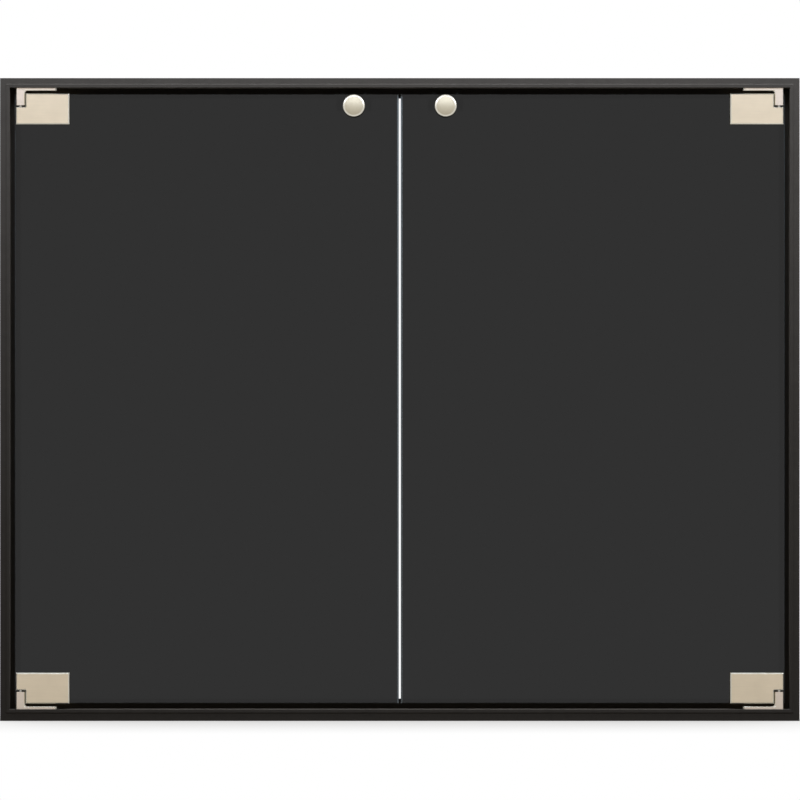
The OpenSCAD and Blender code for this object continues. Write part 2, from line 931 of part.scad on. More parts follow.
// A tempered pane, arrised all round and bevelled where it meets the other one, drilled for four clamp
// screws and the knob.
module glass(side) {
    y0 = front_y + glass_v;
    y1 = y0 + glass_t;
    z0 = 2 * mid_z - door_top;
    color(tint)
        at_side(side)
            difference() {
                translate([glass_in, y0, z0])
                    bevelled_plate(glass_w, glass_h, glass_t, arris, arris);
                translate([glass_in, y0, z0 - past])
                    linear_extrude(glass_h + 2 * past)
                        polygon([
                            [-past, -past], [meeting_bevel_w, -past], [meeting_bevel_w, 0],
                            [0, meeting_bevel_d], [-past, meeting_bevel_d],
                        ]);
                for (z = [clamp_screw_z, 2 * mid_z - clamp_screw_z])
                    for (x = clamp_screw_x)
                        bore_y(x, y0 - past, y1 + past, z, clamp_sleeve_r + slide_gap);
                bore_y(knob_x, y0 - past, y1 + past, knob_z, knob_sleeve_r + slide_gap);
            }
}

module left_glass() {
    glass(LEFT);
}

module right_glass() {
    glass(RIGHT);
}

// Outline of a knob from its axis outwards, second axis from the washer to the crown.
// The rim's arc meets the crown's arc without a corner.
rim_x = knob_d / 2 - rim_r;
crown_c = knob_l - crown_r;
rim_lift = sqrt(pow(crown_r - rim_r, 2) - pow(rim_x, 2));
rim_c = crown_c + rim_lift;
rim_angle = atan2(rim_lift, rim_x);
neck_r = neck_d / 2;
foot_r = foot_d / 2;
scoop_r = foot_r - neck_r;

function knob_outline() = concat(
    [[0, 0], [foot_r, 0], [foot_r, foot_h]],
    arc([foot_r, foot_h + scoop_r], scoop_r, -90, -180, 8),
    [[neck_r, rim_c - rim_r - scoop_r]],
    arc([rim_x, rim_c], rim_r, -90, rim_angle, 12),
    arc([0, crown_c], crown_r, rim_angle, 90, 16)
);

module knob(side) {
    tap_depth = knob_thread + tap_spare;
    color(nickel)
        at_side(side)
            translate([knob_x, front_y + glass_v - washer_t, knob_z])
                forwards()
                    difference() {
                        rotate_extrude()
                            polygon(knob_outline());
                        translate([0, 0, -past])
                            cylinder(h = past + tap_depth, r = knob_screw_d / 2 + seat_gap);
                    }
}

module left_knob() {
    knob(LEFT);
}

module right_knob() {
    knob(RIGHT);
}

// A flanged washer whose sleeve fills the hole in the glass, and a flat washer behind the glass
module knob_washers(side) {
    front = front_y + glass_v;
    back = front + glass_t;
    color(fibre)
        at_side(side) {
            tube_y(knob_x, front - washer_t, front, knob_z, foot_r, knob_sleeve_bore_r);
            tube_y(
                knob_x, front - washer_t, back - slide_gap, knob_z, knob_sleeve_r, knob_sleeve_bore_r
            );
            tube_y(knob_x, back, back + washer_t, knob_z, foot_r, knob_sleeve_bore_r);
        }
}

module left_knob_washers() {
    knob_washers(LEFT);
}

module right_knob_washers() {
    knob_washers(RIGHT);
}

module knob_screw(side) {
    length = strike_t + washer_t + glass_t + washer_t + knob_thread;
    color(steel)
        at_side(side)
            translate([knob_x, front_y + strike_v + strike_t - seat_gap, knob_z])
                forwards()
                    countersunk_screw(knob_screw_d, knob_head_d, length);
}

module left_knob_screw() {
    knob_screw(LEFT);
}

module right_knob_screw() {
    knob_screw(RIGHT);
}

// The steel disc that the magnet pulls
module strike_plate(side) {
    color(zinc_steel)
        at_side(side)
            translate([knob_x, front_y + strike_v + strike_t, knob_z])
                forwards()
                    difference() {
                        cylinder(h = strike_t, d = strike_d);
                        countersunk_hole(knob_screw_d, knob_head_d, strike_t + past, loose_gap);
                    }
}

module left_strike_plate() {
    strike_plate(LEFT);
}

module right_strike_plate() {
    strike_plate(RIGHT);
}

// Places in a catch: the pocket holds the magnet between the two pole plates.
housing_top = lip_z - catch_drop;
housing_mid_z = housing_top - catch_h / 2;
pole_d = pole_out + magnet_d;
stack_h = magnet_h + 2 * pole_t;

module catch_housing(side) {
    y0 = front_y + housing_v;
    ear_y = front_y + box_d;
    pocket_w = magnet_w + 2 * slide_gap;
    pocket_h = stack_h + 4 * slide_gap;
    ear_w = catch_w - 2 * ear_inset;
    color(black)
        at_side(side)
            difference() {
                union() {
                    translate([knob_x - catch_w / 2, y0, housing_top - catch_h])
                        bevelled_plate(catch_w, catch_h, catch_d, catch_bevel, catch_bevel);
                    translate([knob_x - ear_w / 2, ear_y, housing_top - catch_h / 2])
                        cube([ear_w, ear_t, ear_h + catch_h / 2]);
                }
                translate([knob_x - pocket_w / 2, y0 - past, housing_mid_z - pocket_h / 2])
                    cube([pocket_w, magnet_d + slide_gap + past, pocket_h]);
                for (x = ear_screw_x)
                    bore_y(x, ear_y - past, ear_y + ear_t + past, ear_screw_z, ear_screw_d / 2 + loose_gap);
            }
}

module left_catch_housing() {
    catch_housing(LEFT);
}

module right_catch_housing() {
    catch_housing(RIGHT);
}

module catch_magnet(side) {
    color(zinc_steel)
        at_side(side)
            translate([knob_x - magnet_w / 2, front_y + housing_v, housing_mid_z - magnet_h / 2])
                cube([magnet_w, magnet_d, magnet_h]);
}

module left_catch_magnet() {
    catch_magnet(LEFT);
}

module right_catch_magnet() {
    catch_magnet(RIGHT);
}

module catch_pole_plates(side) {
    color(steel)
        at_side(side)
            for (level = [TOP, BOTTOM])
                translate([
                    knob_x - magnet_w / 2, front_y + pole_v,
                    housing_mid_z + level * (magnet_h / 2 + slide_gap + pole_t / 2) - pole_t / 2,
                ])
                    cube([magnet_w, pole_d, pole_t]);
}

module left_catch_pole_plates() {
    catch_pole_plates(LEFT);
}

module right_catch_pole_plates() {
    catch_pole_plates(RIGHT);
}

module catch_screws() {
    color(black)
        for (side = [LEFT, RIGHT])
            for (x = ear_screw_x)
                translate([side * x, front_y + box_d + ear_t, ear_screw_z])
                    forwards()
                        pan_screw(ear_screw_d, ear_head_d, ear_head_h, ear_screw_l);
}

top_rail();
bottom_rail();
left_jamb();
right_jamb();
sill_strip();
left_top_corner_key();
right_top_corner_key();
left_bottom_corner_key();
right_bottom_corner_key();
corner_key_screws();
left_top_hinge_bracket();
right_top_hinge_bracket();
left_bottom_hinge_bracket();
right_bottom_hinge_bracket();
hinge_bracket_screws();
left_top_hinge_pin();
right_top_hinge_pin();
left_bottom_hinge_pin();
right_bottom_hinge_pin();
left_top_pivot_bush();
right_top_pivot_bush();
left_bottom_pivot_bush();
right_bottom_pivot_bush();
left_top_clamp_block();
right_top_clamp_block();
left_bottom_clamp_block();
right_bottom_clamp_block();
left_top_clamp_gaskets();
right_top_clamp_gaskets();
left_bottom_clamp_gaskets();
right_bottom_clamp_gaskets();
left_top_clamp_back_plate();
right_top_clamp_back_plate();
left_bottom_clamp_back_plate();
right_bottom_clamp_back_plate();
left_clamp_screws();
right_clamp_screws();
left_clamp_sleeves();
right_clamp_sleeves();
left_glass();
right_glass();
left_knob();
right_knob();
left_knob_washers();
right_knob_washers();
left_knob_screw();
right_knob_screw();
left_strike_plate();
right_strike_plate();
left_catch_housing();
right_catch_housing();
left_catch_magnet();
right_catch_magnet();
left_catch_pole_plates();
right_catch_pole_plates();
catch_screws();
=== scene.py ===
from math import radians

import bmesh
import bpy
from mathutils import Euler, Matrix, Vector


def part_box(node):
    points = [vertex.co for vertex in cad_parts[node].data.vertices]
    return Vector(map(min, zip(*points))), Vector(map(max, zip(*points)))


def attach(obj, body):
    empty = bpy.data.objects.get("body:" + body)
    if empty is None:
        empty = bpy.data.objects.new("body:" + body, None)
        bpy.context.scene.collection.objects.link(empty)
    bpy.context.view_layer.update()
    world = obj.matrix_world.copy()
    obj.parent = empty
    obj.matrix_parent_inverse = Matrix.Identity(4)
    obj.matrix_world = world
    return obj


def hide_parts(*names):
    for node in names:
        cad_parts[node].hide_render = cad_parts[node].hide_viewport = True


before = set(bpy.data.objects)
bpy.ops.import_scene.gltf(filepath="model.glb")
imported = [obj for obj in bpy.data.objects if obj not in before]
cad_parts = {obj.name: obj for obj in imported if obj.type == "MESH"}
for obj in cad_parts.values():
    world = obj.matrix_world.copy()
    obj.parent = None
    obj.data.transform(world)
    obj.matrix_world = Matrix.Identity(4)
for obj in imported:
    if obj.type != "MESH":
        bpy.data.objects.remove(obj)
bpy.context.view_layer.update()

bl_info = {
    "name": "Fireplace Glass Door",
    "version": (1, 0, 0),
    "blender": (4, 5, 0),
    "location": "3D View > Sidebar > Glass Door",
    "description": "Gives the glass doors, their frame and their fittings real finishes, and lights "
                   "them in a studio",
    "category": "Material",
}

SIDES = ("left", "right")
LEVELS = ("top", "bottom")
CORNERS = [f"{side}_{level}" for side in SIDES for level in LEVELS]
MM = 0.001


def linear(hex_colour):
    """A colour written as sRGB hex, as the linear values that Blender works in."""
    shares = [int(hex_colour[i:i + 2], 16) / 255 for i in (1, 3, 5)]
    return tuple(s / 12.92 if s <= 0.04045 else ((s + 0.055) / 1.055) ** 2.4 for s in shares)


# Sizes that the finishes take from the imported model, in metres

FRONT_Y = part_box("left_jamb")[0].y
FRAME_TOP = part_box("top_rail")[1].z
KNOB_LOW, KNOB_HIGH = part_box("right_knob")
KNOB_X = (KNOB_LOW.x + KNOB_HIGH.x) / 2
KNOB_Z = (KNOB_LOW.z + KNOB_HIGH.z) / 2
KNOB_R = (KNOB_HIGH.x - KNOB_LOW.x) / 2

# Values that more than one finish uses

# Nearly all of a noise lies between these, so a pattern runs from dark to light between them
NOISE_LOW = 0.3
NOISE_HIGH = 0.7
# Roughness of nickel plate that the wheel has polished
POLISHED = 0.3
# Index of refraction of the powder coat and of all that is moulded or pressed
COATING_IOR = 1.5

# Values of the pieces' edges

# Corners of a mesh closer than this are one corner
WELD_REACH = 0.001 * MM
# An edge that turns further than this is rounded, and the facets of a round surface turn less
HARD_EDGE = radians(30)
# The Y of a face's direction from which it counts as the flat front or back of a pane
PANE_FLAT = 0.999

# The stage, in metres

FLOOR_HALF = 40
# How far from the frame the floor still darkens
SHADOW_REACH = 0.3
WHITE = (1, 1, 1, 1)
# How many times brighter the dome is overhead than at the horizon
DOME_RISE = 3
COOL = linear("#dde9ff")
WARM = linear("#fff8f0")
# Where each lamp stands, what it is aimed at, its width and height, and its colour
LAMPS = {
    "key": {"place": (0.35, -0.38, 1.06), "target": (0.35, 0.0, 0.55), "size": (2.4, 0.2),
            "colour": COOL},
    "top": {"place": (0.1, -0.12, 2.4), "target": (0.1, 0.0, 0.3), "size": (1.6, 0.3),
            "colour": COOL, "mirrored": False},
    "rear": {"place": (-0.5, 1.1, 1.5), "target": (0.0, 0.0, 0.4), "size": (1.4, 0.6),
             "colour": WARM},
}
# How far the lens is shifted across and up, as shares of the picture's width
VIEW_SHIFT = (0.00025, -0.0006)


class FrameFinish(bpy.types.PropertyGroup):
    """The frame's powder coat."""

    colour: bpy.props.FloatVectorProperty(
        name="Coat", description="Colour of the powder coat", subtype="COLOR", size=3,
        min=0, max=1, default=linear("#504a42"))
    grain: bpy.props.FloatProperty(
        name="Grain", description="Size of the coat's texture", unit="LENGTH",
        min=0.1 * MM, default=0.9 * MM)


class HardwareFinish(bpy.types.PropertyGroup):
    """The plating of brackets, clamps and knobs."""

    clamp_nickel: bpy.props.FloatVectorProperty(
        name="Clamp nickel", description="Colour of the clamps' satin nickel", subtype="COLOR", size=3,
        min=0, max=1, default=linear("#cabca5"))
    bracket_nickel: bpy.props.FloatVectorProperty(
        name="Bracket nickel", description="Colour of the brackets' satin nickel", subtype="COLOR",
        size=3, min=0, max=1, default=linear("#c9bcae"))
    # The bevels' paler colour is a painted highlight.
    bevel: bpy.props.FloatVectorProperty(
        name="Bevels", description="Colour of the polished bevels on plates and brackets",
        subtype="COLOR", size=3, min=0, max=1, default=linear("#dbd8ca"))
    knob_nickel: bpy.props.FloatVectorProperty(
        name="Knob nickel", description="Colour of the knobs' satin nickel", subtype="COLOR", size=3,
        min=0, max=1, default=linear("#b9b09b"))
    # The rim's paler colour is a painted highlight.
    knob_rim_highlight: bpy.props.FloatVectorProperty(
        name="Knob rim", description="Colour of the polished rim of the knobs", subtype="COLOR", size=3,
        min=0, max=1, default=linear("#dad5c7"))
    brush_spacing: bpy.props.FloatProperty(
        name="Brush lines", description="Distance between the brushed lines", unit="LENGTH",
        min=0.1 * MM, default=0.7 * MM)
    edge: bpy.props.FloatProperty(
        name="Edge", description="Radius on the corners of plates and brackets", unit="LENGTH",
        min=0, default=0.2 * MM)


class GlassFinish(bpy.types.PropertyGroup):
    """The tempered panes."""

    tint: bpy.props.FloatVectorProperty(
        name="Tint", description="Share of each colour that a pane lets through", subtype="COLOR",
        size=3, min=0, max=1, default=(0.003, 0.003, 0.003))
    edge: bpy.props.FloatVectorProperty(
        name="Edge", description="Colour of the ground edges", subtype="COLOR", size=3,
        min=0, max=1, default=linear("#6f7472"))
    ior: bpy.props.FloatProperty(
        name="IOR", description="Index of refraction, which sets how strongly the panes mirror",
        min=1, max=2, default=1.4)


class Studio(bpy.types.PropertyGroup):
    """The stage, lamps and camera."""

    key_power: bpy.props.FloatProperty(
        name="Key lamp", description="Power of the long lamp above the front", unit="POWER",
        min=0, default=11.2)
    top_power: bpy.props.FloatProperty(
        name="Top lamp", description="Power of the lamp high above the frame", unit="POWER",
        min=0, default=50.0)
    rear_power: bpy.props.FloatProperty(
        name="Rear lamp", description="Power of the lamp above the back", unit="POWER",
        min=0, default=9.0)
    dome: bpy.props.FloatProperty(
        name="Dome", description="Strength of the soft light from all round", min=0, default=0.02)
    camera_distance: bpy.props.FloatProperty(
        name="Camera distance", description="From the camera to the front of the frame", unit="LENGTH",
        min=1, default=7.0)
    view_width: bpy.props.FloatProperty(
        name="View width", description="Width that the picture spans at the front of the frame",
        unit="LENGTH", min=0.1, default=0.9084)


# Shader nodes and materials


def add_node(tree, kind, settings=None, inputs=None):
    """Adds a node. Settings go on the node, and each input takes a value or another node's output."""
    made = tree.nodes.new(kind)
    for name, value in (settings or {}).items():
        setattr(made, name, value)
    for name, value in (inputs or {}).items():
        if isinstance(value, bpy.types.NodeSocket):
            tree.links.new(value, made.inputs[name])
        else:
            made.inputs[name].default_value = value
    return made


def new_material(name):
    """An empty material and its node tree."""
    made = bpy.data.materials.new(name)
    made.use_nodes = True
    made.node_tree.nodes.clear()
    return made, made.node_tree


def opaque(colour):
    """A colour with the full alpha that a colour socket asks for."""
    return (*colour, 1.0)


def shades(colour, dark, light):
    """A colour's darker and lighter neighbours, for a pattern that runs between them."""
    return opaque([c * dark for c in colour]), opaque([min(1.0, c * light) for c in colour])


def powder_coated_aluminium(coat):
    """Extruded aluminium, powder coated dark bronze: a fine sanded texture that spreads the light, with
    hardly any mirror to it."""
    made, tree = new_material("powder_coated_aluminium")
    dark, light = shades(coat.colour, dark=0.86, light=1.12)
    place = add_node(tree, "ShaderNodeTexCoord").outputs["Object"]
    # Powder melts into clouds of slightly deeper and paler colour.
    cloud_size = 12 * MM
    cloud = add_node(tree, "ShaderNodeTexNoise", None,
                     {"Vector": place, "Scale": 1 / cloud_size, "Detail": 3.0, "Roughness": 0.6})
    # The real grain is about 0.2 mm. It is drawn larger, so that it shows in a picture.
    grain = add_node(tree, "ShaderNodeTexNoise", None,
                     {"Vector": place, "Scale": 1 / coat.grain, "Detail": 2.0, "Roughness": 0.7})
    both = add_node(tree, "ShaderNodeMix", {"data_type": "FLOAT"},
                    {"Factor": 0.55, "A": cloud.outputs["Fac"], "B": grain.outputs["Fac"]})
    spread = add_node(tree, "ShaderNodeMapRange", None,
                      {"Value": both.outputs["Result"], "From Min": NOISE_LOW, "From Max": NOISE_HIGH})
    colour = add_node(tree, "ShaderNodeMix", {"data_type": "RGBA"},
                      {"Factor": spread.outputs["Result"], "A": dark, "B": light})
    roughness = add_node(tree, "ShaderNodeMapRange", None,
                         {"Value": grain.outputs["Fac"], "To Min": 0.5, "To Max": 0.68})
    bump = add_node(tree, "ShaderNodeBump", None,
                    {"Height": grain.outputs["Fac"], "Strength": 0.35, "Distance": 0.08 * MM})
    skin = add_node(tree, "ShaderNodeBsdfPrincipled", None,
                    {"Base Color": colour.outputs["Result"], "Roughness": roughness.outputs["Result"],
                     "IOR": COATING_IOR, "Specular IOR Level": 0.05, "Normal": bump.outputs["Normal"]})
    add_node(tree, "ShaderNodeOutputMaterial", None, {"Surface": skin.outputs["BSDF"]})
    return made


def satin_nickel_casting(name, plate, hardware):
    """Zinc casting with satin nickel plate, brushed lengthways: warm, soft and pale, with faint long
    lines, and a painted highlight in a paler colour on its polished bevels."""
    made, tree = new_material(name)
    dark, light = shades(plate, dark=0.93, light=1.05)
    spot = add_node(tree, "ShaderNodeTexCoord")
    place = spot.outputs["Object"]
    # A brush line is as wide as the lines' spacing, which is drawn wider than the real 0.1 mm to show.
    line_length = 25 * MM
    line_width = hardware.brush_spacing
    stretched = add_node(tree, "ShaderNodeMapping", None,
                         {"Vector": place, "Scale": (1 / line_length, 1 / line_width, 1 / line_width)})
    lines = add_node(tree, "ShaderNodeTexNoise", None,
                     {"Vector": stretched.outputs["Vector"], "Scale": 1.0, "Detail": 2.0,
                      "Roughness": 0.6})
    cloud_size = 18 * MM
    cloud = add_node(tree, "ShaderNodeTexNoise", None,
                     {"Vector": place, "Scale": 1 / cloud_size, "Detail": 2.0, "Roughness": 0.5})
    both = add_node(tree, "ShaderNodeMix", {"data_type": "FLOAT"},
                    {"Factor": 0.5, "A": cloud.outputs["Fac"], "B": lines.outputs["Fac"]})
    spread = add_node(tree, "ShaderNodeMapRange", None,
                      {"Value": both.outputs["Result"], "From Min": NOISE_LOW, "From Max": NOISE_HIGH})
    colour = add_node(tree, "ShaderNodeMix", {"data_type": "RGBA"},
                      {"Factor": spread.outputs["Result"], "A": dark, "B": light})
    # The bevels are polished after brushing, so they are smoother, and their paler colour is a painted
    # highlight. They are the faces that look between the front, where the direction's Y is 1, and a side,
    # where it is 0, and the polish and the painted highlight fade out towards both.
    facing = add_node(tree, "ShaderNodeSeparateXYZ", None, {"Vector": spot.outputs["Normal"]})
    turned = add_node(tree, "ShaderNodeMath", {"operation": "ABSOLUTE"}, {0: facing.outputs["Y"]})
    off_front = add_node(tree, "ShaderNodeMapRange", None,
                         {"Value": turned.outputs["Value"], "From Min": 0.97, "From Max": 0.88})
    off_side = add_node(tree, "ShaderNodeMapRange", None,
                        {"Value": turned.outputs["Value"], "From Min": 0.2, "From Max": 0.45})
    bevel = add_node(tree, "ShaderNodeMath", {"operation": "MULTIPLY"},
                     {0: off_front.outputs["Result"], 1: off_side.outputs["Result"]})
    finished = add_node(tree, "ShaderNodeMix", {"data_type": "RGBA"},
                        {"Factor": bevel.outputs["Value"], "A": colour.outputs["Result"],
                         "B": opaque(hardware.bevel)})
    brushed = add_node(tree, "ShaderNodeMapRange", None,
                       {"Value": lines.outputs["Fac"], "To Min": 0.46, "To Max": 0.56})
    roughness = add_node(tree, "ShaderNodeMix", {"data_type": "FLOAT"},
                         {"Factor": bevel.outputs["Value"], "A": brushed.outputs["Result"],
                          "B": POLISHED})
    bump = add_node(tree, "ShaderNodeBump", None,
                    {"Height": lines.outputs["Fac"], "Strength": 0.15, "Distance": 0.03 * MM})
    skin = add_node(tree, "ShaderNodeBsdfPrincipled", None,
                    {"Base Color": finished.outputs["Result"], "Metallic": 1.0,
                     "Roughness": roughness.outputs["Result"], "Normal": bump.outputs["Normal"]})
    add_node(tree, "ShaderNodeOutputMaterial", None, {"Surface": skin.outputs["BSDF"]})
    return made


def satin_nickel_turning(hardware):
    """Turned brass with satin nickel plate: fine rings round the knob's axis, a softer, paler sheen, and
    a rim which the wheel polishes most and whose brighter colour is a painted highlight."""
    made, tree = new_material("satin_nickel_turning")
    dark, light = shades(hardware.knob_nickel, dark=0.94, light=1.05)
    place = add_node(tree, "ShaderNodeTexCoord").outputs["Object"]
    split = add_node(tree, "ShaderNodeSeparateXYZ", None, {"Vector": place})
    # Both knobs stand as far from the centre line, so the distance from it serves them both.
    across = add_node(tree, "ShaderNodeMath", {"operation": "ABSOLUTE"}, {0: split.outputs["X"]})
    from_axis = add_node(tree, "ShaderNodeCombineXYZ", None,
                         {"X": across.outputs["Value"], "Z": split.outputs["Z"]})
    centre = add_node(tree, "ShaderNodeCombineXYZ", None, {"X": KNOB_X, "Z": KNOB_Z})
    radius = add_node(tree, "ShaderNodeVectorMath", {"operation": "DISTANCE"},
                      {0: from_axis.outputs["Vector"], 1: centre.outputs["Vector"]})
    # The lathe's feed leaves rings 0.1 mm apart. They are drawn further apart, so that they show.
    ring_spacing = 0.6 * MM
    turns = add_node(tree, "ShaderNodeMath", {"operation": "MULTIPLY"},
                     {0: radius.outputs["Value"], 1: 1 / ring_spacing})
    rings = add_node(tree, "ShaderNodeTexNoise", {"noise_dimensions": "1D"},
                     {"W": turns.outputs["Value"], "Scale": 1.0, "Detail": 1.0})
    colour = add_node(tree, "ShaderNodeMix", {"data_type": "RGBA"},
                      {"Factor": rings.outputs["Fac"], "A": dark, "B": light})
    # The polish, with the rim's painted highlight, starts 3 mm in from the widest part of the knob and is
    # full 1 mm in.
    rim = add_node(tree, "ShaderNodeMapRange", {"interpolation_type": "SMOOTHSTEP"},
                   {"Value": radius.outputs["Value"],
                    "From Min": KNOB_R - 3 * MM, "From Max": KNOB_R - 1 * MM})
    finished = add_node(tree, "ShaderNodeMix", {"data_type": "RGBA"},
                        {"Factor": rim.outputs["Result"], "A": colour.outputs["Result"],
                         "B": opaque(hardware.knob_rim_highlight)})
    turned = add_node(tree, "ShaderNodeMapRange", None,
                      {"Value": rings.outputs["Fac"], "To Min": 0.62, "To Max": 0.7})
    roughness = add_node(tree, "ShaderNodeMix", {"data_type": "FLOAT"},
                         {"Factor": rim.outputs["Result"], "A": turned.outputs["Result"],
                          "B": POLISHED})
    bump = add_node(tree, "ShaderNodeBump", None,
                    {"Height": rings.outputs["Fac"], "Strength": 0.12, "Distance": 0.02 * MM})
    skin = add_node(tree, "ShaderNodeBsdfPrincipled", None,
                    {"Base Color": finished.outputs["Result"], "Metallic": 1.0,
                     "Roughness": roughness.outputs["Result"], "Normal": bump.outputs["Normal"]})
    add_node(tree, "ShaderNodeOutputMaterial", None, {"Surface": skin.outputs["BSDF"]})
    return made


def smoked_tempered_glass(pane):
    """Grey tempered glass: a dark mirror from the front, which only a bright thing behind shows
    through."""
    made, tree = new_material("smoked_tempered_glass")
    place = add_node(tree, "ShaderNodeTexCoord").outputs["Object"]
    # Tempering leaves the rollers' waves, which bend reflections a little.
    wave_spacing = 60 * MM
    waves = add_node(tree, "ShaderNodeTexNoise", None,
                     {"Vector": place, "Scale": 1 / wave_spacing, "Detail": 0.0})
    bump = add_node(tree, "ShaderNodeBump", None,
                    {"Height": waves.outputs["Fac"], "Strength": 0.05, "Distance": 0.1 * MM})
    # The IOR is set a little under soda lime glass's 1.52, because these panes mirror faintly.
    skin = add_node(tree, "ShaderNodeBsdfPrincipled", None,
                    {"Base Color": opaque(pane.tint), "Roughness": 0.0, "IOR": pane.ior,
                     "Transmission Weight": 1.0, "Normal": bump.outputs["Normal"]})
    add_node(tree, "ShaderNodeOutputMaterial", None, {"Surface": skin.outputs["BSDF"]})
    return made


def ground_glass_edge(pane):
    """The pane's ground and arrised edges: frosted by the wheel, so they catch the light and look
    paler."""
    made, tree = new_material("ground_glass_edge")
    dark, light = shades(pane.edge, dark=0.8, light=1.2)
    place = add_node(tree, "ShaderNodeTexCoord").outputs["Object"]
    # The wheel's marks are as fine as its grit. They are drawn this long, so that they show.
    mark_length = 1.5 * MM
    marks = add_node(tree, "ShaderNodeTexNoise", None,
                     {"Vector": place, "Scale": 1 / mark_length, "Detail": 2.0, "Roughness": 0.6})
    colour = add_node(tree, "ShaderNodeMix", {"data_type": "RGBA"},
                      {"Factor": marks.outputs["Fac"], "A": dark, "B": light})
    bump = add_node(tree, "ShaderNodeBump", None,
                    {"Height": marks.outputs["Fac"], "Strength": 0.1, "Distance": 0.03 * MM})
    skin = add_node(tree, "ShaderNodeBsdfPrincipled", None,
                    {"Base Color": colour.outputs["Result"], "Roughness": 0.3, "IOR": 1.52,
                     "Normal": bump.outputs["Normal"]})
    add_node(tree, "ShaderNodeOutputMaterial", None, {"Surface": skin.outputs["BSDF"]})
    return made


def plain_metal(name, hex_colour, roughness, mark, stretch=(1, 1, 1)):
    """A bare or plated metal, whose surface varies a little over marks of that size, which are longer
    along an axis that is stretched."""
    made, tree = new_material(name)
    dark, light = shades(linear(hex_colour), dark=0.88, light=1.08)
    place = add_node(tree, "ShaderNodeTexCoord").outputs["Object"]
    scaled = add_node(tree, "ShaderNodeMapping", None,
                      {"Vector": place, "Scale": [1 / (mark * s) for s in stretch]})
    marks = add_node(tree, "ShaderNodeTexNoise", None,
                     {"Vector": scaled.outputs["Vector"], "Scale": 1.0, "Detail": 3.0,
                      "Roughness": 0.6})
    colour = add_node(tree, "ShaderNodeMix", {"data_type": "RGBA"},
                      {"Factor": marks.outputs["Fac"], "A": dark, "B": light})
    spread = add_node(tree, "ShaderNodeMapRange", None,
                      {"Value": marks.outputs["Fac"],
                       "To Min": roughness * 0.85, "To Max": roughness * 1.15})
    bump = add_node(tree, "ShaderNodeBump", None,
                    {"Height": marks.outputs["Fac"], "Strength": 0.12, "Distance": 0.03 * MM})
    skin = add_node(tree, "ShaderNodeBsdfPrincipled", None,
                    {"Base Color": colour.outputs["Result"], "Metallic": 1.0,
                     "Roughness": spread.outputs["Result"], "Normal": bump.outputs["Normal"]})
    add_node(tree, "ShaderNodeOutputMaterial", None, {"Surface": skin.outputs["BSDF"]})
    return made


def moulded_or_pressed(name, hex_colour, roughness, grain, depth):
    """A fibre, plastic or ceramic surface with an even grain of that size and depth."""
    made, tree = new_material(name)
    dark, light = shades(linear(hex_colour), dark=0.8, light=1.2)
    place = add_node(tree, "ShaderNodeTexCoord").outputs["Object"]
    grains = add_node(tree, "ShaderNodeTexNoise", None,
                      {"Vector": place, "Scale": 1 / grain, "Detail": 3.0, "Roughness": 0.65})
    colour = add_node(tree, "ShaderNodeMix", {"data_type": "RGBA"},
                      {"Factor": grains.outputs["Fac"], "A": dark, "B": light})
    bump = add_node(tree, "ShaderNodeBump", None,
                    {"Height": grains.outputs["Fac"], "Strength": 0.4, "Distance": depth})
    skin = add_node(tree, "ShaderNodeBsdfPrincipled", None,
                    {"Base Color": colour.outputs["Result"], "Roughness": roughness,
                     "IOR": COATING_IOR, "Normal": bump.outputs["Normal"]})
    add_node(tree, "ShaderNodeOutputMaterial", None, {"Surface": skin.outputs["BSDF"]})
    return made


# Pieces


def dress(node_name, material):
    """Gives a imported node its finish."""
    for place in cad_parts[node_name].material_slots:
        place.material = material


def soften(piece, radius):
    """Rounds a piece's hard edges by a hair, as polishing before plating does."""
    weld = piece.modifiers.new("weld", "WELD")
    weld.merge_threshold = WELD_REACH
    rounding = piece.modifiers.new("rounding", "BEVEL")
    rounding.width = radius
    rounding.segments = 2
    rounding.limit_method = "ANGLE"
    rounding.angle_limit = HARD_EDGE
    rounding.harden_normals = True


class GLASSDOOR_OT_frame(bpy.types.Operator):
    """Finish the four mitred lengths of the frame and the strip under the sill"""

    bl_idname = "glassdoor.frame"
    bl_label = "Frame"

    def execute(self, context):
        material = powder_coated_aluminium(context.scene.glassdoor_frame)
        for name in ("top_rail", "bottom_rail", "left_jamb", "right_jamb", "sill_strip"):
            dress(name, material)
        return {"FINISHED"}


class GLASSDOOR_OT_corner_keys(bpy.types.Operator):
    """Finish the keys inside the mitres, and their screws"""

    bl_idname = "glassdoor.corner_keys"
    bl_label = "Corner keys"

    def execute(self, context):
        # Mill finish aluminium: bright grey, with the die's fine lines.
        bar = plain_metal("mill_finish_aluminium", "#b6b8ba", roughness=0.35, mark=0.5 * MM,
                          stretch=(20, 20, 1))
        for corner in CORNERS:
            dress(f"{corner}_corner_key", bar)
        # Bright zinc plate on steel: a cool grey with a faint cloud in it.
        zinc = plain_metal("zinc_plated_steel", "#a4a8ac", roughness=0.38, mark=2 * MM)
        dress("corner_key_screws", zinc)
        return {"FINISHED"}


class GLASSDOOR_OT_brackets(bpy.types.Operator):
    """Finish the hinge brackets, their pins and their screws"""

    bl_idname = "glassdoor.brackets"
    bl_label = "Brackets and pins"

    def execute(self, context):
        hardware = context.scene.glassdoor_hardware
        nickel = satin_nickel_casting("satin_nickel_bracket", hardware.bracket_nickel, hardware)
        # Bare stainless steel, turned: bright, with marks across the pin.
        steel = plain_metal("stainless_steel", "#a3a19c", roughness=0.32, mark=0.6 * MM,
                            stretch=(4, 4, 1))
        for corner in CORNERS:
            dress(f"{corner}_hinge_bracket", nickel)
            soften(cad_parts[f"{corner}_hinge_bracket"], hardware.edge)
            dress(f"{corner}_hinge_pin", steel)
        dress("hinge_bracket_screws", steel)
        return {"FINISHED"}


